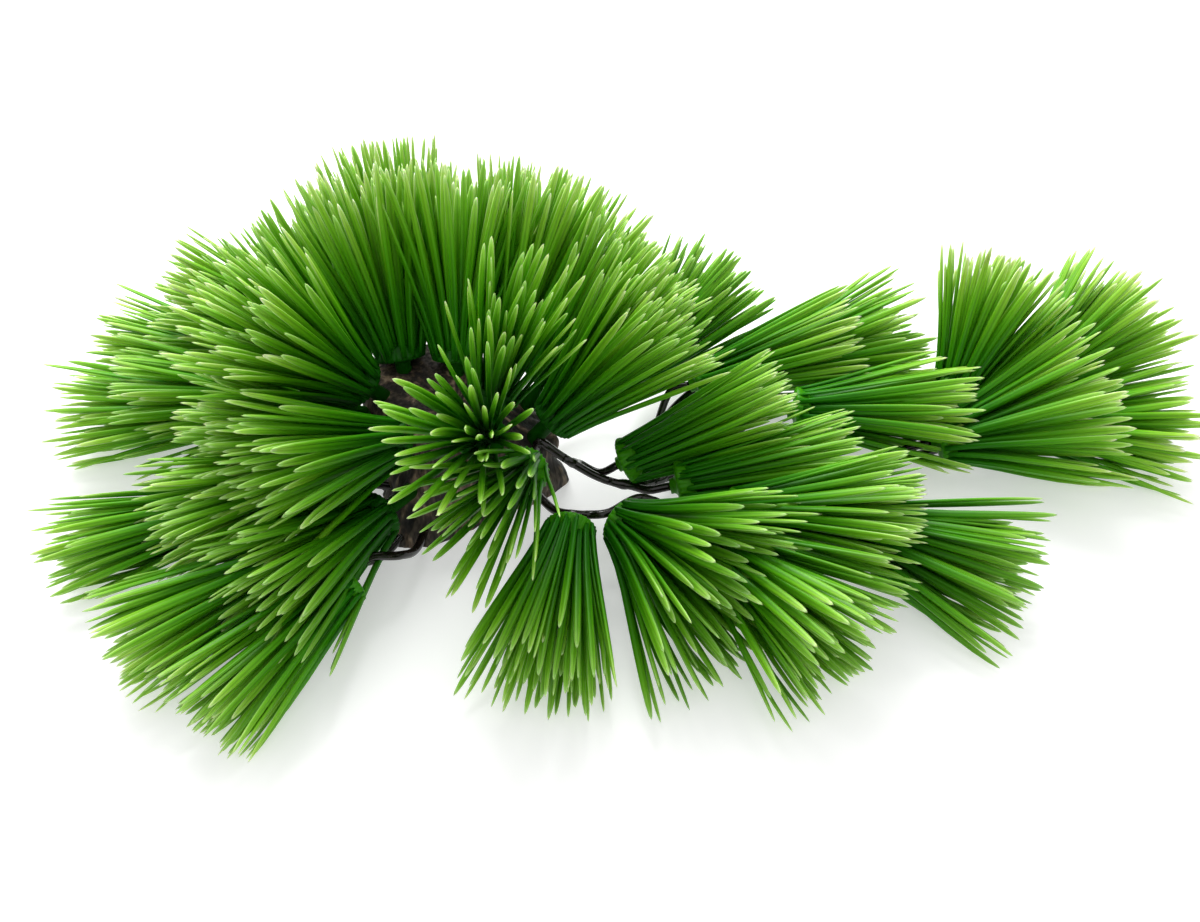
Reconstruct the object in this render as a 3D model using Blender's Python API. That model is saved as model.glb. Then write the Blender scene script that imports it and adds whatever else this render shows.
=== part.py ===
"""An artificial plant spray: moulded needle tufts on coated wires that branch from a bark-covered stump.

It lies on a surface. Metres, +Z up; the origin is on the stump's flat underside, +X runs to the spray's
long end, and -Y is the side that it is looked at from.
"""

import bmesh
import bpy
import numpy as np
from mathutils import Vector
from mathutils.bvhtree import BVHTree

MM = 0.001
GAP = 0.3 * MM

# Needles. Each spine of a tuft stands for two or three of them: a wedge that ends in a blunt edge.
NEEDLE_REACH = 45
TIP_WIDTH = 2.0 * MM
SECTORS = 12
# How far the needles of the inner, middle and outer ring lean out, as shares of their tuft's spread.
LEANS = (0.22, 0.6, 1.0)

# The moulded cup that a tuft's needles grow from, as rings of (radius, height above the cup's centre).
FACE_HEIGHT = 1.6 * MM
FACE_RINGS = ((3.0 * MM, 1.2 * MM), (4.8 * MM, 0.3 * MM), (6.8 * MM, -1.2 * MM))
BACK_RING = (6.3 * MM, -3.6 * MM)
NECK_RING = (2.2 * MM, -4.8 * MM)
NECK_END = 6.2 * MM

# Coated wire: its radius, the distance between the points of its run, and how far behind a cup it
# turns in line with it.
WIRE_RADIUS = 1.15 * MM
WIRE_STEP = 7 * MM
RUN_IN = 12 * MM
# How a wire runs on under a tuft that it carries: how far behind the cup's centre, and how far below.
UNDER_CUP = ((10 * MM, 3.0 * MM), (3.5 * MM, 7.6 * MM), (-2 * MM, 8.0 * MM))

# The room that a spine's middle line keeps to each kind of neighbour, and to the spines beside it.
ROOM_TO_CUP = 8.4 * MM
ROOM_TO_NECK = 3.8 * MM
ROOM_TO_WIRE = 2.8 * MM
ROOM_TO_SPINE = 2.9 * MM
ROOM_TO_STUMP = 1.7 * MM
ROOM_IN_TUFT = 2.0 * MM
# The share of its length at which a spine has left the ones beside it, and how near another tuft's spine
# comes before their faces are compared.
FREE_FROM = 0.12
NEAR = 6 * MM

# The stump's outline in plan: the angle, the radius at the ground and the radius that its top closes from.
STUMP_OUTLINE = (
    (8, 29, 26),
    (30, 27, 24),
    (55, 29, 26),
    (80, 29, 27),
    (105, 34, 32),
    (128, 39, 37),
    (148, 35, 33),
    (165, 28, 24),
    (180, 23, 18),
    (205, 23, 14),
    (227, 28, 14),
    (245, 23, 13),
    (270, 15, 12),
    (300, 13, 11),
    (330, 15, 14),
    (350, 22, 20),
)
STUMP_HEIGHT = 31 * MM
STUMP_DROP = 11 * MM
STUMP_LEVELS = (0, 0.12, 0.28, 0.46, 0.64, 0.8, 0.92, 0.98)
STUMP_SECTORS = 26
RIDGE = 0.6 * MM

# Each tuft: the centre of its cup in mm, the heading and the rise of its axis in degrees (heading 0 is
# +X and 90 is away from the viewer), and the spread, how far its outer needles lean from that axis.
TUFTS = {
    "tuft_crown_front_left": ((8, -19, 40), -94, 47, 17),
    "tuft_crown_front": ((18, -22, 29), -103, 28, 17),
    "tuft_crown_top": ((12, -5, 44), -56, 67, 12),
    "tuft_crown_right": ((28, 2, 29), 12, 46, 18),
    "tuft_crown_right_back": ((25, 15.5, 31), 32, 46, 20),
    "tuft_crown_back": ((-1, 19.5, 37), 88, 58, 21),
    "tuft_crown_back_left": ((-17, 21, 36), 108, 56, 20),
    "tuft_crown_far_back": ((-17, 38, 33), 110, 60, 14),
    "tuft_crown_left_back": ((-34, 27, 27), 136, 42, 18),
    "tuft_crown_back_right": ((14, 23, 35), 62, 50, 20),
    "tuft_left_high": ((-27, 5, 38), -160, 51, 22),
    "tuft_left_mid": ((-30, 4, 20), -158, 22, 18),
    "tuft_left_low": ((-17, -12, 30), -140, 18, 20),
    "tuft_left_lower": ((-21, -26, 16), -125, 6, 20),
    "tuft_front_low": ((30, -32, 16), -99, -6, 16),
    "tuft_left_front": ((-27, -47, 14), -129, -8, 13),
    "tuft_left_high_outer": ((-48, 45, 19), -175, 31, 15),
    "tuft_left_mid_outer": ((-52, 20, 17), -169, 9, 15),
    "tuft_left_low_outer": ((-38, -10, 15), -147, 8, 16),
    "tuft_left_front_outer": ((-41, -40, 15), -148, -6, 13),
    "tuft_far_left_back": ((-66, 40, 13), 172, 5, 12),
    "tuft_far_left": ((-71, 20, 13), -178, -1, 13),
    "tuft_far_left_front": ((-61, -19, 12), -166, -8, 14),
    "tuft_right_brush": ((48.5, -1, 15), 6, 27, 8),
    "tuft_right_collar": ((63, -9, 13), 4, 11, 9),
    "tuft_right_mid": ((76, -22, 15), -14, 12, 16),
    "tuft_right_front": ((46, -29, 17), -43, 2, 34),
    "tuft_right_front_outer": ((68, -36, 15), -46, -2, 22),
    "tuft_right_low": ((106, -25, 12), -22, -5, 20),
    "tuft_right_back": ((97, 15, 17), -3, 3, 15),
    "tuft_back_high": ((70, 31, 15), 10, 15, 13),
    "tuft_back_high_outer": ((90, 39, 13), 8, 12, 18),
    "tuft_back_dark": ((51, 37, 15), 44, 26, 18),
    "tuft_tip_up": ((141, 25, 21), 56, 46, 22),
    "tuft_tip_side": ((137, 9, 12), 3, 15, 24),
    "tuft_end_up": ((165, 30, 14), 32, 20, 25),
    "tuft_end_side": ((165, 15, 11), -3, 0, 19),
}
# How long a tuft's needles are in mm, where they differ from most.
REACHES = {
    "tuft_crown_back": 49,
    "tuft_crown_back_left": 49,
    "tuft_crown_far_back": 49,
    "tuft_crown_back_right": 49,
    "tuft_back_dark": 41,
    "tuft_tip_up": 36,
    "tuft_end_up": 40,
    "tuft_end_side": 40,
}

# Each wire's run, in mm. It starts in the stump, or beside the wire that it branches from, runs under a
# tuft or close behind it, and goes into the neck of the last one.
WIRES = {
    "wire_crown_front": [(8, 0, 14), (16, -6, 21), "into tuft_crown_front"],
    "wire_far_left_back": [(-18, 17, 4), (-32.5, 29.5, 3), (-40, 34.5, 4), (-50, 37, 7), "into tuft_far_left_back"],
    "wire_left_high_outer": [(-32, 34, 4), (-35, 40, 7), "into tuft_left_high_outer"],
    "wire_left": [(-18, 8, 5), (-33, 16.5, 5), "under tuft_left_mid_outer", "into tuft_far_left"],
    "wire_left_low": [(-12, -4, 5), (-25, -4, 7), "under tuft_left_low_outer", "into tuft_far_left_front"],
    "wire_left_front": [(-8, -10, 4), (-10, -26, 6), (-13, -34, 12), "into tuft_left_front"],
    "wire_left_front_outer": [(-12, -12, 3), (-20, -27, 3), (-29, -33, 9), "into tuft_left_front_outer"],
    "wire_right_brush": [(32.5, 0.3, 10.6), "into tuft_right_brush"],
    "wire_right_collar": [(20, -1, 14), (22, -4, 23), (28, -4.5, 18), (38, -5, 10.5), (47, -7, 9.2),
                          "into tuft_right_collar"],
    "wire_right_mid": [(57, -20.5, 14.5), "into tuft_right_mid"],
    "wire_right_front": [(10, -2, 12), (20, -13, 14), (26, -21, 15), "behind tuft_front_low", (35, -23.3, 15.6),
                         "behind tuft_right_front", (49.6, -18.5, 16.8), "into tuft_right_front_outer"],
    "wire_right_low": [(56, -22.5, 12), (62, -19, 6), (70, -17, 3), (79, -18, 3), (88, -22, 9),
                       "into tuft_right_low"],
    "wire_back_dark": [(12, 9, 6), (22, 21, 6), (36, 30, 8), "into tuft_back_dark"],
    "wire_back_high": [(57.5, 5, 4), (54, 13, 4), (54.5, 20, 6), "into tuft_back_high"],
    "wire_back_high_outer": [(56, 23.5, 4), (61, 32, 4), (68, 37.5, 6), "into tuft_back_high_outer"],
    "wire_right_back": [(73, 11.5, 3.5), (77, 14.5, 9), "into tuft_right_back"],
    "wire_end": [(49.5, -4.6, 7.6), (56, 1, 4), (66, 7, 2), (80, 9, 2), (108, 9, 2), (128, 12, 2),
                 (142, 18, 2), "into tuft_end_side"],
    "wire_tip_up": [(121, 14, 3), (130, 16.5, 6), "into tuft_tip_up"],
    "wire_tip_side": [(113, 6.2, 3.5), (119, 7.5, 5.5), "into tuft_tip_side"],
    "wire_end_up": [(139.5, 20, 3.5), (148, 24, 7), "into tuft_end_up"],
}

# The tilts off its own direction, in degrees outwards and round, that a spine may take to keep clear,
# and the shares of its length that it may be cut back to.
TILTS = ((0, 0), (0, 4), (0, -4), (4, 0), (-4, 0), (4, 4), (4, -4), (-4, 4), (-4, -4),
         (0, 8), (0, -8), (8, 0), (-8, 0), (8, 8), (8, -8), (0, 12), (0, -12))
CUTS = (1.0, 0.86, 0.72, 0.58, 0.44)


class Cup:
    """Where a tuft's cup sits and points, with the ring of directions that its needles stand on."""

    def __init__(self, name):
        centre, heading, rise, spread = TUFTS[name]
        self.name = name
        self.centre = np.array(centre) * MM
        self.spread = np.radians(spread)
        self.reach = REACHES.get(name, NEEDLE_REACH) * MM
        self.neck_end = NECK_END
        heading, rise = np.radians((heading, rise))
        level = np.array((np.cos(heading), np.sin(heading), 0))
        self.axis = np.cos(rise) * level + np.array((0, 0, np.sin(rise)))
        self.side = np.array((-np.sin(heading), np.cos(heading), 0))
        self.up = np.cross(self.axis, self.side)

    def out(self, angle):
        """The direction square to the axis at this angle round it."""
        return np.cos(angle) * self.side + np.sin(angle) * self.up

    def ring(self, radius, height, count):
        angles = np.arange(count) * 2 * np.pi / count
        return [self.centre + radius * self.out(angle) + height * self.axis for angle in angles]

    def behind(self, distance, drop=0.0):
        """A point behind the cup on its axis, or that much lower, square to the axis."""
        return self.centre - distance * self.axis - drop * self.up


def clear_scene():
    for obj in list(bpy.data.objects):
        bpy.data.objects.remove(obj, do_unlink=True)


def make_material(name, colour, roughness):
    material = bpy.data.materials.new(name)
    material.use_nodes = True
    shader = material.node_tree.nodes["Principled BSDF"]
    shader.inputs["Base Color"].default_value = (*colour, 1)
    shader.inputs["Roughness"].default_value = roughness
    shader.inputs["Metallic"].default_value = 0
    material.diffuse_color = (*colour, 1)
    return material


def add_object(name, data, material):
    data.materials.append(material)
    obj = bpy.data.objects.new(name, data)
    bpy.context.scene.collection.objects.link(obj)
    return obj


def stump_rings():
    """The stump's rings from the ground up: the outline narrows, closes over, and slopes down to +X."""
    angles = np.arange(STUMP_SECTORS) * 2 * np.pi / STUMP_SECTORS
    at, ground, top = np.array(STUMP_OUTLINE).T
    ground = np.interp(np.degrees(angles), at, ground, period=360) * MM
    top = np.interp(np.degrees(angles), at, top, period=360) * MM
    ridges = RIDGE * np.where(np.arange(STUMP_SECTORS) % 2, 1, -1)
    rings = []
    for level in STUMP_LEVELS:
        lumps = RIDGE * np.sin(3 * angles + 9 * level)
        radius = (top + (ground - top) * (1 - level) ** 1.6) * np.sqrt(1 - level**12) + ridges + lumps
        x = radius * np.cos(angles)
        slope = np.clip((x - 6 * MM) / (18 * MM), 0, 1)
        height = STUMP_HEIGHT - STUMP_DROP * slope * slope * (3 - 2 * slope)
        rings.append(np.stack((x, radius * np.sin(angles), level * height), axis=1))
    return rings


def make_stump(material):
    mesh = bmesh.new()
    rings = [[mesh.verts.new(point) for point in ring] for ring in stump_rings()]
    for lower, upper in zip(rings, rings[1:]):
        for k in range(STUMP_SECTORS):
            after = (k + 1) % STUMP_SECTORS
            mesh.faces.new((lower[k], lower[after], upper[after], upper[k]))
    crest = mesh.verts.new((0, 0, STUMP_HEIGHT))
    for k in range(STUMP_SECTORS):
        mesh.faces.new((rings[-1][k], rings[-1][(k + 1) % STUMP_SECTORS], crest))
    mesh.faces.new(rings[0][::-1])
    tree = BVHTree.FromBMesh(mesh)
    data = bpy.data.meshes.new("stump")
    mesh.to_mesh(data)
    mesh.free()
    add_object("stump", data, material)
    return tree


def room_ahead(tree, points, direction):
    """How far all these points can move this way before the first of them meets the surface."""
    hits = [tree.ray_cast(Vector(point), Vector(direction))[3] for point in points]
    hits = [hit for hit in hits if hit is not None]
    return min(hits) if hits else None


def disc(centre, direction, radius):
    """The centre and six points round the edge of a disc that faces this way."""
    direction = Vector(direction).normalized()
    side = direction.orthogonal().normalized()
    round_it = direction.cross(side)
    edge = [side * np.cos(a) + round_it * np.sin(a) for a in np.arange(6) * np.pi / 3]
    return [Vector(centre)] + [Vector(centre) + radius * out for out in edge]


def smooth_run(stops):
    """The points of a smooth curve through all the stops, a few to each stretch and none in the last one."""
    stops = np.array(stops)
    ends = np.vstack((2 * stops[0] - stops[1], stops, 2 * stops[-1] - stops[-2]))
    run = []
    for a, b, c, d in zip(ends, ends[1:], ends[2:], ends[3:]):
        parts = max(1, round(np.linalg.norm(c - b) / WIRE_STEP))
        share = np.arange(parts)[:, None] / parts
        run.append(
            0.5 * (2 * b + (c - a) * share + (2 * a - 5 * b + 4 * c - d) * share**2
                   + (3 * b - 3 * c + d - a) * share**3)
        )
    return np.vstack((*run, stops[-1:]))


def wire_run(route, cups, stump):
    """The points of a wire. It starts just outside the stump's surface where its first point is inside."""
    points = []
    for stop in route:
        if isinstance(stop, tuple):
            points.append(np.array(stop) * MM)
            continue
        how, name = stop.split()
        cup = cups[name]
        if how == "under":
            points += [cup.behind(back, drop + WIRE_RADIUS) for back, drop in UNDER_CUP]
        elif how == "behind":
            points.append(cup.behind(NECK_END + 2 * GAP + WIRE_RADIUS))
        else:
            points += [cup.behind(RUN_IN), cup.behind(NECK_END + GAP)]
    away = points[0] - points[1]
    length = np.linalg.norm(away)
    ahead = room_ahead(stump, disc(points[1], away, WIRE_RADIUS), away)
    if ahead is not None and ahead < length:
        points[0] = points[1] + away / length * (ahead - GAP)
    return smooth_run(points)


def make_wire(name, run, material):
    curve = bpy.data.curves.new(name, "CURVE")
    curve.dimensions = "3D"
    curve.bevel_depth = WIRE_RADIUS
    curve.bevel_resolution = 1
    curve.use_fill_caps = True
    spline = curve.splines.new("POLY")
    spline.points.add(len(run) - 1)
    for point, place in zip(spline.points, run):
        point.co = (*place, 1)
    add_object(name, curve, material)


def distances(start, end, starts, ends):
    """The least distance from one straight line to each of many others."""
    one, many, between = end - start, ends - starts, start - starts
    one_one, many_many = one @ one, np.sum(many * many, axis=1)
    one_many, one_between = many @ one, between @ one
    many_between = np.sum(many * between, axis=1)
    spare = np.maximum(one_one * many_many - one_many**2, 1e-18)
    share = np.clip((one_many * many_between - one_between * many_many) / spare, 0, 1)
    other = np.clip((one_many * share + many_between) / many_many, 0, 1)
    share = np.clip((one_many * other - one_between) / one_one, 0, 1)
    return np.linalg.norm(between + share[:, None] * one - other[:, None] * many, axis=1)


class Neighbours:
    """The middle lines of what is already in place, each with its owner, the room that it needs and, on a
    spine, the tree of its faces."""

    def __init__(self):
        self.owners, self.starts, self.ends, self.rooms, self.trees = [], [], [], [], []

    def add(self, owner, start, end, room, tree=None):
        self.owners.append(owner)
        self.starts.append(start)
        self.ends.append(end)
        self.rooms.append(room)
        self.trees.append(tree)

    def others(self, owner):
        keep = [k for k, name in enumerate(self.owners) if name != owner]
        lines = (np.array(column)[keep] for column in (self.starts, self.ends, self.rooms))
        return *lines, [self.trees[k] for k in keep]


def cells():
    """The cells of a cup's face, outer ring first: the ring, the middle sector and its four corners.

    Corners are numbered 0 for the centre and then ring by ring, and run inner, outer, outer, inner.
    """
    found = []
    for ring in (2, 1):
        for k in range(SECTORS):
            inner, outer = 1 + (ring - 1) * SECTORS, 1 + ring * SECTORS
            after = (k + 1) % SECTORS
            found.append((ring, k + 0.5, (inner + k, outer + k, outer + after, inner + after)))
    for k in range(0, SECTORS, 2):
        found.append((0, k + 1, (0, 1 + k, 2 + k, 1 + (k + 2) % SECTORS)))
    return found


def spine_ends(cup, sector, tip):
    """The two ends of the blunt edge that a spine closes to, no lower than the ground."""
    half = TIP_WIDTH / 2 * np.cross(cup.axis, cup.out(sector * 2 * np.pi / SECTORS))
    return [np.array((x, y, max(z, 0))) for x, y, z in (tip - half, tip + half)]


def spine_tree(cup, face, corners, sector, tip, start):
    """The faces of a spine from this share of its length on, to test against those of others."""
    one, other = spine_ends(cup, sector, tip)
    towards = zip(corners, (one, one, other, other))
    free = [face[corner] + start * (end - face[corner]) for corner, end in towards]
    faces = ((0, 1, 4), (1, 2, 5), (1, 5, 4), (2, 3, 5), (3, 0, 4), (3, 4, 5))
    return BVHTree.FromPolygons([*free, one, other], faces)


def spine_tip(cup, root, ring, angle, rng, fits):
    """The first place for a spine's tip that keeps it clear, or None: nearly its own direction first."""
    lean = cup.spread * LEANS[ring] + np.radians(rng.normal(0, 1.0))
    out = cup.out(angle)
    along = cup.axis * np.cos(lean) + out * np.sin(lean)
    round_it = np.cross(cup.axis, out)
    reach = cup.reach * rng.uniform(0.95, 1.04)
    for cut in CUTS:
        for outwards, sideways in TILTS:
            way = along + np.tan(np.radians(outwards)) * out + np.tan(np.radians(sideways)) * round_it
            tip = root + reach * cut * way / np.linalg.norm(way)
            tip[2] = max(tip[2], 0)
            if fits(root, tip):
                return tip
    return None


def grow_spines(cup, face, neighbours, stump, rng):
    """A tip for each cell of the cup's face, or None where nothing fits; it adds them to the neighbours."""
    starts, ends, rooms, trees = neighbours.others(cup.name)
    own_starts, own_ends, own_trees = [], [], []

    def fits(root, tip):
        gaps = distances(root, tip, starts, ends)
        if (gaps < rooms).any():
            return False
        inside = root + 0.25 * (tip - root)
        if own_starts:
            own = distances(inside, tip, np.array(own_starts), np.array(own_ends))
            if own.min() < ROOM_IN_TUFT:
                return False
        way = tip - root
        if stump.ray_cast(Vector(root), Vector(way), np.linalg.norm(way))[0] is not None:
            return False
        places = [root + share * way for share in (0.15, 0.4, 0.7, 1.0)]
        if any(stump.find_nearest(Vector(place))[3] < ROOM_TO_STUMP for place in places):
            return False
        tree = spine_tree(cup, face, corners, sector, tip, FREE_FROM)
        if any(tree.overlap(own) for own in own_trees):
            return False
        tree = spine_tree(cup, face, corners, sector, tip, 0)
        return not any(trees[k] and tree.overlap(trees[k]) for k in np.flatnonzero(gaps < NEAR))

    tips = []
    for ring, sector, corners in cells():
        root = np.mean([face[k] for k in corners], axis=0)
        angle = sector * 2 * np.pi / SECTORS
        tip = spine_tip(cup, root, ring, angle, rng, fits)
        tips.append(tip)
        if tip is not None:
            own_starts.append(root + 0.25 * (tip - root))
            own_ends.append(tip)
            own_trees.append(spine_tree(cup, face, corners, sector, tip, FREE_FROM))
            tree = spine_tree(cup, face, corners, sector, tip, 0)
            neighbours.add(cup.name, root, tip, ROOM_TO_SPINE, tree)
    return tips


def make_tuft(cup, neighbours, stump, rng, material):
    """One moulding: a cup with a neck behind and a spine drawn out of each cell of its face."""
    face = [cup.centre + FACE_HEIGHT * cup.axis]
    for radius, height in FACE_RINGS:
        face += cup.ring(radius, height, SECTORS)
    tips = grow_spines(cup, face, neighbours, stump, rng)
    mesh = bmesh.new()
    verts = [mesh.verts.new(point) for point in face]
    for (_, sector, corners), tip in zip(cells(), tips):
        a, b, c, d = [verts[k] for k in corners]
        if tip is None:
            mesh.faces.new((a, b, c, d))
            continue
        one, other = [mesh.verts.new(end) for end in spine_ends(cup, sector, tip)]
        for corner_loop in ((a, b, one), (b, c, other, one), (c, d, other), (d, a, one, other)):
            mesh.faces.new(corner_loop)
    rim = verts[1 + 2 * SECTORS:]
    rings = [[mesh.verts.new(point) for point in cup.ring(radius, height, 6)]
             for radius, height in (BACK_RING, NECK_RING, (NECK_RING[0], -cup.neck_end))]
    for k in range(6):
        after, middle, beyond = (k + 1) % 6, rim[2 * k + 1], rim[(2 * k + 2) % SECTORS]
        mesh.faces.new((rim[2 * k], rings[0][k], middle))
        mesh.faces.new((middle, rings[0][k], rings[0][after]))
        mesh.faces.new((middle, rings[0][after], beyond))
        for front, back in zip(rings, rings[1:]):
            mesh.faces.new((front[k], back[k], back[after], front[after]))
    mesh.faces.new(rings[-1][::-1])
    data = bpy.data.meshes.new(cup.name)
    mesh.to_mesh(data)
    mesh.free()
    add_object(cup.name, data, material)


def main():
    clear_scene()
    bark = make_material("bark", (0.09, 0.055, 0.035), 0.8)
    coated_wire = make_material("coated_wire", (0.02, 0.012, 0.01), 0.25)
    needle_green = make_material("needle_green", (0.1, 0.32, 0.02), 0.35)

    stump = make_stump(bark)
    cups = {name: Cup(name) for name in TUFTS}
    on_wires = {stop.split()[1] for route in WIRES.values() for stop in route if isinstance(stop, str)}
    neighbours = Neighbours()
    for name, cup in cups.items():
        if name not in on_wires:
            start = cup.behind(-NECK_RING[1])
            ahead = room_ahead(stump, disc(start, -cup.axis, NECK_RING[0]), -cup.axis)
            cup.neck_end = -NECK_RING[1] + ahead - GAP
        depth = -BACK_RING[1]
        neighbours.add(name, cup.behind(-FACE_HEIGHT), cup.behind(depth), ROOM_TO_CUP)
        neighbours.add(name, cup.behind(depth), cup.behind(cup.neck_end), ROOM_TO_NECK)
    for name, route in WIRES.items():
        run = wire_run(route, cups, stump)
        make_wire(name, run, coated_wire)
        for start, end in zip(run, run[1:]):
            neighbours.add(name, start, end, ROOM_TO_WIRE)
    rng = np.random.default_rng(7)
    for cup in cups.values():
        make_tuft(cup, neighbours, stump, rng, needle_green)


main()
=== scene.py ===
"""The looks of an artificial plant spray: a bark-covered stump, moulded tufts of green needles, coated wires.

Lengths are in millimetres and angles in degrees, but the floor, the lamp and the camera are placed in metres.
+X is the spray's long end, and -Y faces the viewer.
"""

import bpy
import numpy as np
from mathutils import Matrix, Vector
from mathutils.bvhtree import BVHTree


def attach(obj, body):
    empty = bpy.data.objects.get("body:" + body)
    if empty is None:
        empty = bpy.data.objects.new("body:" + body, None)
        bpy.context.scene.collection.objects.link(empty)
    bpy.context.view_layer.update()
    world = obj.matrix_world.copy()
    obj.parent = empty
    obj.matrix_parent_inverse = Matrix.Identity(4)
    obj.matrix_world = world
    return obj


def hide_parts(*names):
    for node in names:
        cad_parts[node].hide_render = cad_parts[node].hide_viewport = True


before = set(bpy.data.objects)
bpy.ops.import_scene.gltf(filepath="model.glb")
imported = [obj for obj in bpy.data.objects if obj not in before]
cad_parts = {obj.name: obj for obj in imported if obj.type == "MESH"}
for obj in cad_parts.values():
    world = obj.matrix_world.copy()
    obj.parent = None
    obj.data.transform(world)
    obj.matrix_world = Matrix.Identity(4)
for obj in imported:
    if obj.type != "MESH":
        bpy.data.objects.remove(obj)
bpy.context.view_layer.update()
MM = 0.001

# The stump. The real one is a short, lying billet covered with bark in long, narrow plates, dark in the
# cracks between them. Its underside is cut flat, and the wires and stalks are pushed into it.
# Its outline: a direction, and the radii there on the ground and at the top.
STUMP_OUTLINE = (
    (8, 29, 26), (30, 27, 24), (55, 29, 26), (80, 29, 27), (105, 34, 32), (128, 39, 37), (148, 35, 33),
    (165, 28, 24), (180, 23, 18), (205, 23, 14), (227, 28, 14), (245, 23, 13), (270, 15, 12), (300, 13, 11),
    (330, 15, 14), (350, 22, 20),
)
STUMP_HEIGHT = 31
# How much lower the top is at its +X end, and where its slope starts and how far it runs.
STUMP_DROP = 11
SLOPE_START = 6
SLOPE_RUN = 18
STUMP_SECTORS = 260
# The share of the height where the side ends and the top begins, the share from there to the last ring of
# points, and the number of rings in each.
SHOULDER = 0.9
TOP_SHARE = 0.098
SIDE_LEVELS = 62
TOP_LEVELS = 24
# The bark's random fields: the lattice's columns round the stump, its rows up the side, and the seed.
CRACK_WANDER = (9, 5, 1)
BARK_PLATES = (46, 4, 2)
BARK_FIBRES = (130, 10, 3)
# How far a crack sways, as a share of the way round.
CRACK_SWAY = 0.012
# How far the bark stands out from its deepest crack, how far that crack is inside the outline, and how far
# the three broad lumps round the stump stand out.
BARK_RELIEF = 1.5
CRACK_DEPTH = 1.0
LUMP_HEIGHT = 0.6


def cloud(across, up, columns, rows, seed):
    """A smooth random field from 0 to 1: random values on a lattice of columns by rows, blended with an
    S-curve between the four nearest. across and up run from 0 to 1, and across wraps round."""
    values = np.random.default_rng(seed).random((rows + 1, columns))
    x, y = across % 1 * columns, np.clip(up, 0, 1) * rows
    i, j = np.floor(x).astype(int) % columns, np.minimum(np.floor(y).astype(int), rows - 1)
    u, v = x % 1, y - j
    u, v = u * u * (3 - 2 * u), v * v * (3 - 2 * v)
    after = (i + 1) % columns
    lower = values[j, i] * (1 - u) + values[j, after] * u
    upper = values[j + 1, i] * (1 - u) + values[j + 1, after] * u
    return lower * (1 - v) + upper * v


def stump_surface(levels, sectors):
    """Rings of points from the ground up. The radius narrows from the ground outline to the top outline with
    the power 1.6 of what is left of the height, and closes over with the height's power 26. The relief, from
    0 to 1, is two parts of bark plates, which stand between narrow cracks that run up the side, to one part
    of fibres. It and the lumps stand on the radius, and fade out near the axis, and it lifts the top a
    little. The top slopes down towards +X along an S-curve. Returns the points and the relief."""
    across = np.arange(sectors)[None, :] / sectors
    level = levels[:, None]
    angle = 2 * np.pi * across
    at, ground, top = np.array(STUMP_OUTLINE).T
    ground = np.interp(np.degrees(angle), at, ground, period=360)
    top = np.interp(np.degrees(angle), at, top, period=360)
    wander = across + CRACK_SWAY * (cloud(across, level, *CRACK_WANDER) - 0.5)
    plates = 1 - np.abs(2 * cloud(wander, level, *BARK_PLATES) - 1)
    fine = cloud(wander, level, *BARK_FIBRES)
    cracks = np.clip(1.6 * plates, 0, 1) ** 0.7
    relief = 0.68 * cracks + 0.32 * fine
    lumps = LUMP_HEIGHT * np.sin(3 * angle + 9 * level)
    radius = (top + (ground - top) * (1 - level) ** 1.6) * np.sqrt(np.clip(1 - level**26, 0, 1))
    radius = radius + (BARK_RELIEF * relief - CRACK_DEPTH + lumps) * np.minimum(1, radius / 12)
    x = radius * np.cos(angle)
    slope = np.clip((x - SLOPE_START) / SLOPE_RUN, 0, 1)
    height = STUMP_HEIGHT - STUMP_DROP * slope * slope * (3 - 2 * slope)
    z = level * height + 0.5 * (relief - 0.6) * np.clip(4 * level - 3, 0, 1)
    return np.stack((x, radius * np.sin(angle), z), axis=-1) * MM, relief


def band_faces(rings, sectors):
    """The four-sided faces between rings of points that run ring by ring: each joins a point, the next one
    round and the two on the next ring."""
    ring, point = np.meshgrid(np.arange(rings - 1), np.arange(sectors), indexing="ij")
    here, after = ring * sectors + point, ring * sectors + (point + 1) % sectors
    return np.stack((here, after, after + sectors, here + sectors), axis=-1).reshape(-1, 4)


def tube_faces(rings, sectors):
    """The faces of a closed tube: the bands between its rings, and a fan from a pole at each end. The poles
    follow the rings."""
    point = np.arange(sectors)
    after, last = (point + 1) % sectors, (rings - 1) * sectors
    foot = np.stack((after, point, np.full(sectors, rings * sectors)), axis=-1)
    head = np.stack((last + point, last + after, np.full(sectors, rings * sectors + 1)), axis=-1)
    return [*band_faces(rings, sectors).tolist(), *foot.tolist(), *head.tolist()]


def add_piece(name, points, faces, material, node, values=None):
    """A smooth mesh that stands for a node. values are three numbers a point for its material to read."""
    mesh = bpy.data.meshes.new(name)
    mesh.from_pydata(points.reshape(-1, 3).tolist(), [], faces)
    if values is not None:
        grain_and_light = mesh.attributes.new("grain_and_light", "FLOAT_VECTOR", "POINT")
        grain_and_light.data.foreach_set("vector", values.astype(np.float32).ravel())
    mesh.shade_smooth()
    mesh.materials.append(material)
    piece = bpy.data.objects.new(name, mesh)
    bpy.context.scene.collection.objects.link(piece)
    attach(piece, "root")
    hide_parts(node)
    return piece


def new_material(name):
    """A material with its Principled shader, a short way to add a node with its values and links, and the
    call that links two sockets."""
    material = bpy.data.materials.new(name)
    material.use_nodes = True
    tree = material.node_tree

    def add(kind, links=(), **settings):
        node = tree.nodes.new(kind)
        for key, value in settings.items():
            setattr(node, key, value)
        for socket, source in dict(links).items():
            if hasattr(source, "is_output"):
                tree.links.new(source, node.inputs[socket])
            else:
                node.inputs[socket].default_value = source
        return node

    return material, tree.nodes["Principled BSDF"], add, tree.links.new


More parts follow.
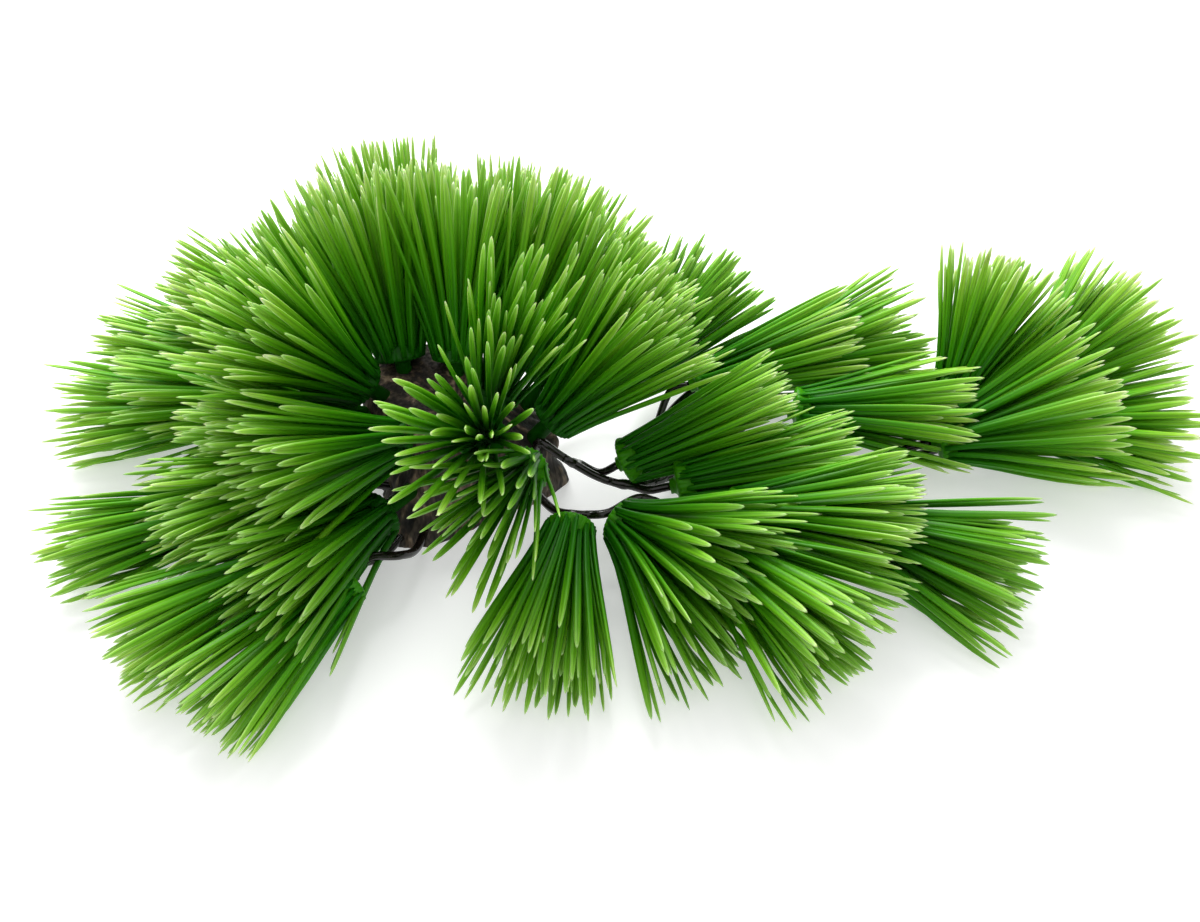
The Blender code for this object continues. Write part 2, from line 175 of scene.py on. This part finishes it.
def ramp(add, source, stops, interpolation="EASE"):
    """A colour ramp on a value, with (place, colour) stops."""
    node = add("ShaderNodeValToRGB", {"Fac": source})
    node.color_ramp.interpolation = interpolation
    while len(node.color_ramp.elements) < len(stops):
        node.color_ramp.elements.new(0.5)
    for element, (place, colour) in zip(node.color_ramp.elements, stops):
        element.position = place
        element.color = (*colour, 1)
    return node.outputs["Color"]


def mix(add, share, one, other, how="MIX"):
    """The colour one where the share is 0, and where it is 1 the other, or their product with MULTIPLY."""
    node = add("ShaderNodeMix", {"Factor": share, 6: one, 7: other}, data_type="RGBA", blend_type=how)
    return node.outputs[2]


# The bark's colour goes from black in the cracks, its own dark colour with painted shade, to brown on the
# plates, and to a worn beige in long patches.
bark, bark_shader, add, link = new_material("bark")
grain_and_light = add("ShaderNodeAttribute", attribute_name="grain_and_light").outputs["Vector"]
relief_mark = add("ShaderNodeSeparateXYZ", {"Vector": grain_and_light}).outputs["X"]
place = add("ShaderNodeTexCoord").outputs["Object"]
stretched = add("ShaderNodeMapping", {"Vector": place, "Scale": (900, 900, 160)}).outputs["Vector"]
fibres = add("ShaderNodeTexNoise", {"Vector": stretched, "Scale": 1, "Detail": 5}).outputs["Fac"]
patches = add("ShaderNodeTexNoise", {"Vector": stretched, "Scale": 0.28, "Detail": 4}).outputs["Fac"]
# Painted shade: the lower the bark stands, the darker it is, deepest in the cracks.
raised = add("ShaderNodeMath", {0: relief_mark, 1: 0.65}, operation="MULTIPLY").outputs[0]
raised = add("ShaderNodeMath", {0: fibres, 1: 0.45, 2: raised}, operation="MULTIPLY_ADD").outputs[0]
beige = ramp(add, raised, (
    (0.4, (0.002, 0.0015, 0.001)), (0.58, (0.018, 0.011, 0.007)), (0.72, (0.09, 0.058, 0.036)),
    (0.86, (0.28, 0.2, 0.13))))
black = ramp(add, raised, (
    (0.45, (0.001, 0.0008, 0.0006)), (0.7, (0.012, 0.008, 0.005)), (0.86, (0.05, 0.035, 0.022))))
worn = ramp(add, patches, ((0.48, (0, 0, 0)), (0.62, (1, 1, 1))))
link(mix(add, worn, black, beige), bark_shader.inputs["Base Color"])
link(ramp(add, fibres, ((0.3, (0.9, 0.9, 0.9)), (0.75, (0.6, 0.6, 0.6)))), bark_shader.inputs["Roughness"])
bump = add("ShaderNodeBump", {"Height": fibres, "Strength": 0.6, "Distance": 0.0006})
link(bump.outputs["Normal"], bark_shader.inputs["Normal"])

levels = SHOULDER + TOP_SHARE * np.linspace(0, 1, TOP_LEVELS)[1:] ** 0.7
levels = np.concatenate((np.linspace(0, SHOULDER, SIDE_LEVELS), levels))
points, relief = stump_surface(levels, STUMP_SECTORS)
poles = np.array(((0, 0, 0), (0, 0, STUMP_HEIGHT))) * MM
points = np.vstack((points.reshape(-1, 3), poles))
values = np.zeros((len(points), 3))
values[:-2, 0] = relief.ravel()
values[-1] = 0.7
stump_faces = tube_faces(len(levels), STUMP_SECTORS)
stump = add_piece("bark_stump", points, stump_faces, bark, "stump", values)
stump_skin = BVHTree.FromPolygons(points.tolist(), stump_faces)

# The tufts. Each is one moulding of green plastic: a cup with a serrated rim, and seventy to a hundred and
# twenty strap-like, blunt needles in it, dark at the root, partly as painted shade, and pale at the tip. The
# neck behind the cup is pushed into the stump, or over a wire's end.
# The centre of each cup, the heading and the rise of its axis, and about how far the outer needles lean.
TUFTS = {
    "crown_front_left": ((8, -19, 40), -94, 47, 17),
    "crown_front": ((18, -22, 29), -103, 28, 17),
    "crown_top": ((12, -5, 44), -56, 67, 12),
    "crown_right": ((28, 2, 29), 12, 46, 18),
    "crown_right_back": ((25, 15.5, 31), 32, 46, 20),
    "crown_back": ((-1, 19.5, 37), 88, 58, 21),
    "crown_back_left": ((-17, 21, 36), 108, 56, 20),
    "crown_far_back": ((-17, 38, 33), 110, 60, 14),
    "crown_left_back": ((-34, 27, 27), 136, 42, 18),
    "crown_back_right": ((14, 23, 35), 62, 50, 20),
    "left_high": ((-27, 5, 38), -160, 51, 22),
    "left_mid": ((-30, 4, 20), -158, 22, 18),
    "left_low": ((-17, -12, 30), -140, 18, 20),
    "left_lower": ((-21, -26, 16), -125, 6, 20),
    "front_low": ((30, -32, 16), -99, -6, 16),
    "left_front": ((-27, -47, 14), -129, -8, 13),
    "left_high_outer": ((-48, 45, 19), -175, 31, 15),
    "left_mid_outer": ((-52, 20, 17), -169, 9, 15),
    "left_low_outer": ((-38, -10, 15), -147, 8, 16),
    "left_front_outer": ((-41, -40, 15), -148, -6, 13),
    "far_left_back": ((-66, 40, 13), 172, 5, 12),
    "far_left": ((-71, 20, 13), -178, -1, 13),
    "far_left_front": ((-61, -19, 12), -166, -8, 14),
    "right_brush": ((48.5, -1, 15), 6, 27, 8),
    "right_collar": ((63, -9, 13), 4, 11, 9),
    "right_mid": ((76, -22, 15), -14, 12, 16),
    "right_front": ((46, -29, 17), -43, 2, 34),
    "right_front_outer": ((68, -36, 15), -46, -2, 22),
    "right_low": ((106, -25, 12), -22, -5, 20),
    "right_back": ((97, 15, 17), -3, 3, 15),
    "back_high": ((70, 31, 15), 10, 15, 13),
    "back_high_outer": ((90, 39, 13), 8, 12, 18),
    "back_dark": ((51, 37, 15), 44, 26, 18),
    "tip_up": ((141, 25, 21), 56, 46, 22),
    "tip_side": ((137, 9, 12), 3, 15, 24),
    "end_up": ((165, 30, 14), 32, 20, 25),
    "end_side": ((165, 15, 11), -3, 0, 19),
}
# How far the needles reach from the cup's centre, and the tufts where that differs.
NEEDLE_REACH = 45
REACHES = {
    "crown_back": 49, "crown_back_left": 49, "crown_far_back": 49, "crown_back_right": 49,
    "back_dark": 41, "tip_up": 36, "end_up": 40, "end_side": 40,
}
# Painted light and shade on whole tufts: those above 0 are painted a shade paler than most, and those below
# it darker. The tufts at the top and back are paler as lit, and the far ones paler and greyer with distance;
# the low and front ones are darker as in shade.
PAINTED_LIGHT_TONES = {
    "crown_back": 0.3, "crown_back_left": 0.25, "crown_back_right": 0.3, "crown_far_back": 0.4,
    "left_high": 0.15, "left_high_outer": 0.35, "far_left_back": 0.4, "far_left": 0.4, "end_up": 0.5,
    "tip_up": 0.5, "end_side": 0.4, "tip_side": 0.2, "back_high": 0.25, "back_high_outer": 0.3,
    "right_back": 0.15, "back_dark": -0.35, "crown_front": -0.2, "left_low": -0.2, "left_lower": -0.4,
    "left_front": -0.2, "right_low": -0.5, "right_mid": -0.1, "right_front": -0.5, "right_front_outer": -0.3,
    "front_low": -0.25,
}
# Tufts with fewer needles, which are seen end on: how many, and how wide, as a factor on the section below.
OPEN_TUFTS = ("crown_front_left", "crown_front", "crown_top")
OPEN_NEEDLES = 46
OPEN_WIDTH = 0.95
# The other tufts have more needles, and wider ones, the more degrees they spread.
FEWEST_NEEDLES = 52
NEEDLES_PER_DEGREE = 2.1
LEAST_WIDTH = 0.76
MOST_WIDTH = 1.2
DEGREES_PER_WIDTH = 55
# The circle that the needles fill, how much further out and back the outermost of them stand, in the rim, and
# how far a needle's tip hangs down at most.
FOOT_CIRCLE = 5.7
RIM_OUT = 0.6
RIM_BACK = 2.5
NEEDLE_DROOP = 1.6
# Ten places along a needle, the last of them its tip, and its half width and half thickness at the others.
ALONG = np.array((0, 0.08, 0.19, 0.33, 0.5, 0.68, 0.84, 0.93, 0.98, 1))
HALF_WIDTH = np.array((0.75, 0.8, 0.87, 0.94, 0.99, 0.98, 0.86, 0.66, 0.36))
HALF_THICKNESS = np.array((0.55, 0.55, 0.55, 0.54, 0.52, 0.49, 0.43, 0.34, 0.2))
# Its section: two ridges with a shallow groove between them on top, and a keel below.
SECTION = np.array(((-1, -0.1), (-0.55, 0.85), (0, 0.5), (0.55, 0.85), (1, -0.1), (0, -1)))
# The cup and its neck as a turned profile: the radius, the height above the cup's centre, and how far the
# teeth of the rim show there. The neck's end comes first, and on the stump it is drawn back into the bark.
NECK_END = 6.2
CUP = (
    (2.15, -NECK_END, 0), (2.15, -5.2, 0), (2.7, -4.6, 0), (4.8, -4.4, 0), (6.0, -4.2, 0.4),
    (6.45, -3.8, 0.9), (6.5, -3.2, 1), (6.3, -2.6, 1), (5.9, -1.6, 0.4), (5.3, -0.5, 0), (4.3, 0.4, 0),
    (2.9, 1.0, 0), (1.2, 1.4, 0),
)
CUP_TOP = 1.5
CUP_SECTORS = 84
TEETH = 28
TOOTH_DEPTH = 0.26
# Tufts whose necks stand in the stump. The others are on wires.
ON_STUMP = (
    "crown_front_left", "crown_top", "crown_right", "crown_back", "crown_back_left", "crown_back_right",
    "crown_far_back", "crown_left_back", "crown_right_back", "left_high", "left_mid", "left_low",
    "left_lower",
)
# How far behind the centre the cup's back is, and how far the neck is sunk in the bark.
CUP_BACK = 4
SUNK_IN_BARK = 1.5
# What a cup's points carry for the material: the place along a needle, the place across it and the tone. The
# cups on the stump are painted dark, as shade between its tufts, and those on wires paler, as painted light.
SHADED_STUMP_CUP = (0, 0.2, -0.3)
LIT_WIRE_CUP = (0.35, 0.4, 0.7)
FIRST_TUFT_SEED = 100


def tuft_axes(name):
    """The centre of a tuft's cup, its axis, and the level and the upward direction square to the axis."""
    centre, heading, rise, _ = TUFTS[name]
    heading, rise = np.radians((heading, rise))
    axis = np.array((np.cos(rise) * np.cos(heading), np.cos(rise) * np.sin(heading), np.sin(rise)))
    side = np.array((-np.sin(heading), np.cos(heading), 0))
    return np.array(centre, float), axis, side, np.cross(axis, side)


def needle_lines(name, needles, rng):
    """The middle lines of a tuft's needles, and the direction round the axis at each. Needle i stands at the
    golden angle times i round the axis and at the square root of its share of the count from the middle, and
    leans out by that root times the spread. It leaves the cup at seven tenths of its lean and bends out over
    the first two fifths of its length. Its line is the running sum of its direction. It droops with the
    square of the way along it, and where it would sink below its own height above the ground, the soft
    maximum of the two heights keeps it up."""
    centre, axis, side, up = tuft_axes(name)
    number = np.arange(needles)
    share = np.sqrt((number + 0.5) / needles)
    turn = number * np.pi * (3 - np.sqrt(5)) + rng.normal(0, 0.1, needles)
    out = np.cos(turn)[:, None] * side + np.sin(turn)[:, None] * up
    rim = np.clip((share - 0.8) / 0.12, 0, 1)
    foot_radius = FOOT_CIRCLE * share + RIM_OUT * rim
    foot_height = 0.2 - 1.2 * share**2 - RIM_BACK * rim
    length = REACHES.get(name, NEEDLE_REACH) * (1.03 - 0.24 * rng.random(needles) ** 2) - foot_height
    lean = 1.12 * np.radians(TUFTS[name][3]) * share + rng.normal(0, 0.035, needles)
    ease = np.clip(ALONG / 0.4, 0, 1)
    ease = ease * ease * (3 - 2 * ease)
    theta = lean[:, None] * (0.7 + 0.3 * ease) + rng.normal(0, 0.04, needles)[:, None] * ALONG**2
    way = np.cos(theta)[..., None] * axis + np.sin(theta)[..., None] * out[:, None]
    around = np.cross(axis, out)[:, None]
    way = way + rng.normal(0, 0.05, needles)[:, None, None] * ALONG[:, None] ** 2 * around
    way /= np.linalg.norm(way, axis=-1, keepdims=True)
    foot = centre + foot_radius[:, None] * out + foot_height[:, None] * axis
    steps = np.diff(ALONG)[:, None] * (way[:, 1:] + way[:, :-1]) / 2
    line = np.concatenate((np.zeros((needles, 1, 3)), np.cumsum(steps, axis=1)), axis=1)
    line = foot[:, None] + length[:, None, None] * line
    line[..., 2] -= rng.uniform(0, NEEDLE_DROOP, needles)[:, None] * ALONG**2
    rest = rng.uniform(0.5, 2.2, needles)[:, None]
    line[..., 2] = rest + 1.2 * np.logaddexp(0, (line[..., 2] - rest) / 1.2)
    return line, around


def needle_mesh(name, rng):
    """All the needles of a tuft as one mesh. The section is carried along each needle's line, turned by a
    random angle. The root is closed with two faces and the tip with a fan. Each point carries the place along
    the needle, the place across it, and the needle's own random tone with its tuft's painted light and shade."""
    spread = TUFTS[name][3]
    needles = round(FEWEST_NEEDLES + NEEDLES_PER_DEGREE * spread)
    width = min(MOST_WIDTH, LEAST_WIDTH + spread / DEGREES_PER_WIDTH)
    if name in OPEN_TUFTS:
        needles, width = OPEN_NEEDLES, OPEN_WIDTH
    line, across = needle_lines(name, needles, rng)
    way = np.gradient(line, axis=1)
    way /= np.linalg.norm(way, axis=-1, keepdims=True)
    over = np.cross(across, way)
    over /= np.linalg.norm(over, axis=-1, keepdims=True)
    across = np.cross(way, over)
    twist = rng.normal(0, 0.45, needles)[:, None, None]
    wide = np.cos(twist) * across + np.sin(twist) * over
    top = np.cos(twist) * over - np.sin(twist) * across
    size = width * rng.uniform(0.9, 1.08, needles)[:, None, None, None]
    points = line[:, :-1, None] + size * (
        (HALF_WIDTH[:, None] * SECTION[:, 0])[None, ..., None] * wide[:, :-1, None]
        + (HALF_THICKNESS[:, None] * SECTION[:, 1])[None, ..., None] * top[:, :-1, None])
    rings, sectors = len(ALONG) - 1, len(SECTION)
    points = np.concatenate((points.reshape(needles, -1, 3), line[:, -1:]), axis=1)
    values = np.empty((needles, rings * sectors + 1, 3))
    values[:, :-1, 0] = np.repeat(ALONG[:-1], sectors)
    values[:, :-1, 1] = np.tile(SECTION[:, 0], rings)
    values[:, -1, :2] = (1, 0)
    # Each needle's own random tone, plus its tuft's painted light and shade.
    values[..., 2] = rng.random(needles)[:, None] + PAINTED_LIGHT_TONES.get(name, 0)
    root = np.array(((0, 5, 4, 3), (0, 3, 2, 1)))
    point = np.arange(sectors)
    last = (rings - 1) * sectors
    tips = np.stack((last + point, last + (point + 1) % sectors, np.full(sectors, rings * sectors)), axis=-1)
    starts = (np.arange(needles) * (rings * sectors + 1))[:, None, None]
    quads = (np.vstack((band_faces(rings, sectors), root))[None] + starts).reshape(-1, 4)
    tips = (tips[None] + starts).reshape(-1, 3)
    return points.reshape(-1, 3), quads.tolist() + tips.tolist(), values.reshape(-1, 3)


def cup_mesh(name, neck_end):
    """The cup and neck: the turned profile, with the rim's radius raised by the teeth's cosine round the
    axis."""
    centre, axis, side, up = tuft_axes(name)
    radius, height, rim = np.array(CUP).T
    height[0] = -neck_end
    turn = 2 * np.pi * np.arange(CUP_SECTORS) / CUP_SECTORS
    out = np.cos(turn)[:, None] * side + np.sin(turn)[:, None] * up
    radius = radius[:, None] + TOOTH_DEPTH * rim[:, None] * np.cos(TEETH * turn)
    points = centre + radius[..., None] * out + height[:, None, None] * axis
    poles = centre + np.array((-neck_end, CUP_TOP))[:, None] * axis
    values = np.empty((len(CUP) * CUP_SECTORS + 2, 3))
    # Painted shade on the cups in the stump, and painted light on those on wires.
    values[:] = SHADED_STUMP_CUP if name in ON_STUMP else LIT_WIRE_CUP
    return np.vstack((points.reshape(-1, 3), poles)), tube_faces(len(CUP), CUP_SECTORS), values


# The plastic's green goes from deep at the root to pale at the tip; the deep root is partly painted shade
# where the needles crowd. The groove and the edges of a needle are painted a little darker as shade, its
# edges near the tip carry a painted highlight, and each needle has its own tone, on top of its tuft's painted
# light and shade.
green, green_shader, add, link = new_material("green needles")
grain_and_light = add("ShaderNodeAttribute", attribute_name="grain_and_light").outputs["Vector"]
marks_and_light = add("ShaderNodeSeparateXYZ", {"Vector": grain_and_light})
along = marks_and_light.outputs["X"]
# Painted shade in part: the root's deep green stands for the shade where the needles crowd, over the
# plastic's own darker root.
colour = ramp(add, along, (
    (0.0, (0.011, 0.155, 0.0005)), (0.3, (0.026, 0.2, 0.0005)), (0.6, (0.075, 0.32, 0.003)),
    (0.84, (0.168, 0.445, 0.016)), (0.95, (0.31, 0.59, 0.075)), (1.0, (0.58, 0.8, 0.36))), "LINEAR")
off_middle = add("ShaderNodeMath", {0: marks_and_light.outputs["Y"]}, operation="ABSOLUTE").outputs[0]
# Painted shade: the groove in the middle of a needle and its edges are darkened.
groove_and_edge_shade = ramp(add, off_middle, ((0.0, (0.72, 0.74, 0.72)), (0.35, (1, 1, 1)), (1.0, (0.86, 0.86, 0.86))))
colour = mix(add, 1.0, colour, groove_and_edge_shade, "MULTIPLY")
# Painted highlight: a pale green along a needle's edges near its tip.
tip_edge_highlight = add("ShaderNodeMath", {0: off_middle, 1: along}, operation="MULTIPLY").outputs[0]
tip_edge_highlight = ramp(add, tip_edge_highlight, ((0.6, (0, 0, 0)), (1.0, (0.5, 0.5, 0.5))))
colour = mix(add, tip_edge_highlight, colour, (0.62, 0.88, 0.36, 1))
# Painted light and shade: the tone value darkens the colour below the middle and makes it paler and greyer
# above it.
tone_and_light = add("ShaderNodeMath", {0: marks_and_light.outputs["Z"], 1: 0.5, 2: 0.25}, operation="MULTIPLY_ADD").outputs[0]
tone_and_light = ramp(add, tone_and_light, (
    (0.0, (0.5, 0.6, 0.5)), (0.25, (0.74, 0.8, 0.7)), (0.5, (1, 1, 1)), (0.75, (1.36, 1.12, 1.5)),
    (1.0, (1.95, 1.32, 3.2))), "LINEAR")
link(mix(add, 1.0, colour, tone_and_light, "MULTIPLY"), green_shader.inputs["Base Color"])
green_shader.inputs["Roughness"].default_value = 0.42
green_shader.inputs["Specular IOR Level"].default_value = 0.12
green_shader.inputs["Coat Weight"].default_value = 0.04
green_shader.inputs["Coat Roughness"].default_value = 0.2
green_shader.inputs["Subsurface Weight"].default_value = 0.3
green_shader.inputs["Subsurface Radius"].default_value = (0.6, 1.0, 0.2)
green_shader.inputs["Subsurface Scale"].default_value = 0.0012


def neck_end(name):
    """How far behind the cup's centre a tuft's neck ends: always the same on a wire, and on the stump a
    little inside the bark that the ray back along the axis meets."""
    if name not in ON_STUMP:
        return NECK_END
    centre, axis, _, _ = tuft_axes(name)
    hit = stump_skin.ray_cast(Vector((centre - CUP_BACK * axis) * MM), Vector(-axis))
    return CUP_BACK + hit[3] / MM + SUNK_IN_BARK


for number, name in enumerate(TUFTS):
    rng = np.random.default_rng(FIRST_TUFT_SEED + number)
    needles, needle_faces, needle_values = needle_mesh(name, rng)
    cup, cup_faces, cup_values = cup_mesh(name, neck_end(name))
    faces = needle_faces + [[corner + len(needles) for corner in face] for face in cup_faces]
    values = np.vstack((needle_values, cup_values))
    tuft = add_piece("needles_" + name, np.vstack((needles, cup)) * MM, faces, green, "tuft_" + name, values)

# The wires. Each is a steel core in a glossy, almost black coating, slightly lumpy, with a knuckle where it
# forks from another. It comes out of the stump or of a knuckle, and is pushed into the back of its last cup.
# The points that each goes through, and the cups that it passes or ends in.
WIRES = {
    "crown_front": [(8, 0, 14), (16, -6, 21), "into crown_front"],
    "far_left_back": [(-18, 17, 4), (-32.5, 29.5, 3), (-40, 34.5, 4), (-50, 37, 7), "into far_left_back"],
    "left_high_outer": [(-32, 34, 4), (-35, 40, 7), "into left_high_outer"],
    "left": [(-18, 8, 5), (-33, 16.5, 5), "under left_mid_outer", "into far_left"],
    "left_low": [(-12, -4, 5), (-25, -4, 7), "under left_low_outer", "into far_left_front"],
    "left_front": [(-8, -10, 4), (-10, -26, 6), (-13, -34, 12), "into left_front"],
    "left_front_outer": [(-12, -12, 3), (-20, -27, 3), (-29, -33, 9), "into left_front_outer"],
    "right_brush": [(32.5, 0.3, 10.6), "into right_brush"],
    "right_collar": [
        (20, -1, 14), (22, -4, 23), (28, -4.5, 18), (38, -5, 10.5), (47, -7, 9.2), "into right_collar"],
    "right_mid": [(57, -20.5, 14.5), "into right_mid"],
    "right_front": [
        (10, -2, 12), (20, -13, 14), (26, -21, 15), "behind front_low", (35, -23.3, 15.6),
        "behind right_front", (49.6, -18.5, 16.8), "into right_front_outer"],
    "right_low": [
        (56, -22.5, 12), (62, -19, 6), (70, -17, 3), (79, -18, 3), (88, -22, 9), "into right_low"],
    "back_dark": [(12, 9, 6), (22, 21, 6), (36, 30, 8), "into back_dark"],
    "back_high": [(57.5, 5, 4), (54, 13, 4), (54.5, 20, 6), "into back_high"],
    "back_high_outer": [(56, 23.5, 4), (61, 32, 4), (68, 37.5, 6), "into back_high_outer"],
    "right_back": [(73, 11.5, 3.5), (77, 14.5, 9), "into right_back"],
    "end": [
        (49.5, -4.6, 7.6), (56, 1, 4), (66, 7, 2), (80, 9, 2), (108, 9, 2), (128, 12, 2), (142, 18, 2),
        "into end_side"],
    "tip_up": [(121, 14, 3), (130, 16.5, 6), "into tip_up"],
    "tip_side": [(113, 6.2, 3.5), (119, 7.5, 5.5), "into tip_side"],
    "end_up": [(139.5, 20, 3.5), (148, 24, 7), "into end_up"],
}
# The wire that each branch forks from.
FORKS = {
    "left_high_outer": "far_left_back", "right_brush": "right_collar", "right_mid": "right_front",
    "right_low": "right_front", "back_high": "end", "back_high_outer": "back_high", "right_back": "end",
    "end": "right_collar", "tip_up": "end", "tip_side": "end", "end_up": "end",
}
WIRE_RADIUS = 1.15
WIRE_SECTORS = 12
WIRE_STEP = 1.1
# The knuckle: how thick, how far along the branch, and how far it reaches both ways.
KNUCKLE = 0.3
KNUCKLE_PLACE = 4.4
KNUCKLE_REACH = 1.5
# Where a wire passes under a cup: how far behind its centre, and how far below it the wire's top is. Where it
# passes behind one: how far behind the centre the wire's near side is. Where it ends in one: how far behind
# the centre its last two stops are.
UNDER_CUP = ((10, 3.0), (3.5, 7.6), (-2, 8.0))
BEHIND_CUP = 6.8
INTO_CUP = (12, 6)
# A branch's first two stops: how many points of its parent's line they are before the one nearest to it.
BRANCH_BACK = (7, 4)
FIRST_WIRE_SEED = 300


def wire_stops(route):
    """The points that a wire goes through: its own, and those behind or under the cups that it names."""
    stops = []
    for stop in route:
        if isinstance(stop, tuple):
            stops.append(stop)
            continue
        how, name = stop.split()
        centre, axis, _, up = tuft_axes(name)
        if how == "under":
            stops += [centre - back * axis - (drop + WIRE_RADIUS) * up for back, drop in UNDER_CUP]
        elif how == "behind":
            stops.append(centre - (BEHIND_CUP + WIRE_RADIUS) * axis)
        else:
            stops += [centre - back * axis for back in INTO_CUP]
    return np.array(stops, float)


def smooth_line(stops):
    """Points about a step apart on a curve through the stops: the cubic whose slope at each stop is half the
    way from the stop before it to the one after."""
    ends = np.vstack((2 * stops[0] - stops[1], stops, 2 * stops[-1] - stops[-2]))
    parts = np.maximum(1, np.round(np.linalg.norm(np.diff(stops, axis=0), axis=1) / WIRE_STEP)).astype(int)
    piece = np.repeat(np.arange(len(parts)), parts)
    first = np.repeat(np.cumsum(parts) - parts, parts)
    share = ((np.arange(parts.sum()) - first) / parts[piece])[:, None]
    a, b, c, d = (ends[piece + k] for k in range(4))
    line = 0.5 * (2 * b + (c - a) * share + (2 * a - 5 * b + 4 * c - d) * share**2
                  + (3 * b - 3 * c + d - a) * share**3)
    return np.vstack((line, stops[-1:]))


def wire_line(name):
    """The wire's line. A branch first runs inside the wire that it forks from, over the last few millimetres
    before the point of it that is nearest to the branch's first stop."""
    stops = wire_stops(WIRES[name])
    if name in FORKS:
        parent = wire_line(FORKS[name])
        near = np.linalg.norm(parent - stops[0], axis=1).argmin()
        first, second = BRANCH_BACK
        stops = np.vstack((parent[[max(0, near - first), max(1, near - second)]], stops))
    return smooth_line(stops)


def wire_mesh(name, seed):
    """A tube along the wire's line. Its section stands on two directions square to the line: the first is
    also square to the line's flattest direction, and the second to the first. The radius is the wire's, up to
    four hundredths more or less in soft lumps, and thicker over a narrow knuckle where a branch leaves its
    parent, by a bell of the fourth power."""
    line = wire_line(name)
    way = np.gradient(line, axis=0)
    way /= np.linalg.norm(way, axis=1, keepdims=True)
    flat = np.linalg.svd(line - line.mean(axis=0))[2][2]
    one = np.cross(way, flat)
    one /= np.linalg.norm(one, axis=1, keepdims=True)
    other = np.cross(way, one)
    run = np.concatenate(((0,), np.cumsum(np.linalg.norm(np.diff(line, axis=0), axis=1))))
    turn = 2 * np.pi * np.arange(WIRE_SECTORS) / WIRE_SECTORS
    lumps = cloud(turn[None] / (2 * np.pi), (run / run[-1])[:, None], 4, max(2, int(run[-1] / 3)), seed)
    radius = WIRE_RADIUS * (0.96 + 0.08 * lumps)
    if name in FORKS:
        radius = radius + KNUCKLE * np.exp(-((run[:, None] - KNUCKLE_PLACE) / KNUCKLE_REACH) ** 4)
    points = line[:, None] + radius[..., None] * (
        np.cos(turn)[:, None] * one[:, None] + np.sin(turn)[:, None] * other[:, None])
    return np.vstack((points.reshape(-1, 3), line[:1], line[-1:])), tube_faces(len(line), WIRE_SECTORS)


# The coating is smeared: a shade lighter and duller in patches, with a little unevenness.
coating, coating_shader, add, link = new_material("wire coating")
place = add("ShaderNodeTexCoord").outputs["Object"]
smears = add("ShaderNodeTexNoise", {"Vector": place, "Scale": 700, "Detail": 3}).outputs["Fac"]
colour = ramp(add, smears, ((0.35, (0.003, 0.002, 0.0015)), (0.7, (0.011, 0.0065, 0.0045))))
link(colour, coating_shader.inputs["Base Color"])
gloss = ramp(add, smears, ((0.35, (0.1, 0.1, 0.1)), (0.7, (0.28, 0.28, 0.28))))
link(gloss, coating_shader.inputs["Roughness"])
coating_shader.inputs["Specular IOR Level"].default_value = 0.5
bump = add("ShaderNodeBump", {"Height": smears, "Strength": 0.2, "Distance": 0.0002})
link(bump.outputs["Normal"], coating_shader.inputs["Normal"])

for number, name in enumerate(WIRES):
    points, faces = wire_mesh(name, FIRST_WIRE_SEED + number)
    wire = add_piece("coated_wire_" + name, points * MM, faces, coating, "wire_" + name)

# The floor that the spray lies on: a plain, pale, matt sheet that glows a little, so that it stays white.
FLOOR_REACH = 3
FLOOR_DROP = 0.0003
corners = [
    (x * FLOOR_REACH, y * FLOOR_REACH, -FLOOR_DROP) for x, y in ((-1, -1), (1, -1), (1, 1), (-1, 1))]
floor_mesh = bpy.data.meshes.new("floor")
floor_mesh.from_pydata(corners, [], [(0, 1, 2, 3)])
floor = bpy.data.objects.new("floor", floor_mesh)
bpy.context.scene.collection.objects.link(floor)
pale, pale_shader, _, _ = new_material("pale floor")
pale_shader.inputs["Base Color"].default_value = (0.7, 0.7, 0.7, 1)
pale_shader.inputs["Roughness"].default_value = 0.7
pale_shader.inputs["Emission Color"].default_value = (1, 1, 1, 1)
pale_shader.inputs["Emission Strength"].default_value = 0.42
floor_mesh.materials.append(pale)

# The light: a bright, even room, and one wide, soft lamp above and behind the spray, a little to its left.
ROOM_STRENGTH = 0.92
LAMP_PLACE = Vector((-0.1, 0.6, 0.62))
LAMP_AIM = Vector((0.04, 0, 0))
LAMP_WIDTH = 0.5
LAMP_POWER = 11
world = bpy.data.worlds.new("room")
world.use_nodes = True
background = world.node_tree.nodes["Background"]
background.inputs["Color"].default_value = (1, 1, 1, 1)
background.inputs["Strength"].default_value = ROOM_STRENGTH
bpy.context.scene.world = world
lamp = bpy.data.lights.new("main lamp", "AREA")
lamp.size = LAMP_WIDTH
lamp.energy = LAMP_POWER
light = bpy.data.objects.new("main lamp", lamp)
light.location = LAMP_PLACE
light.rotation_euler = (LAMP_AIM - LAMP_PLACE).to_track_quat("-Z", "Y").to_euler()
bpy.context.scene.collection.objects.link(light)
bpy.context.scene.view_settings.view_transform = "Standard"

# The camera: it looks down at 45 degrees from close in front.
CAMERA_PLACE = (0.038, -0.2284, 0.2404)
CAMERA_LENS = 35.2
camera_data = bpy.data.cameras.new("camera")
camera_data.lens = CAMERA_LENS
camera_data.clip_start = 0.01
camera = bpy.data.objects.new("camera", camera_data)
camera.location = CAMERA_PLACE
camera.rotation_euler = (np.radians(45), 0, 0)
bpy.context.scene.collection.objects.link(camera)
bpy.context.scene.camera = camera
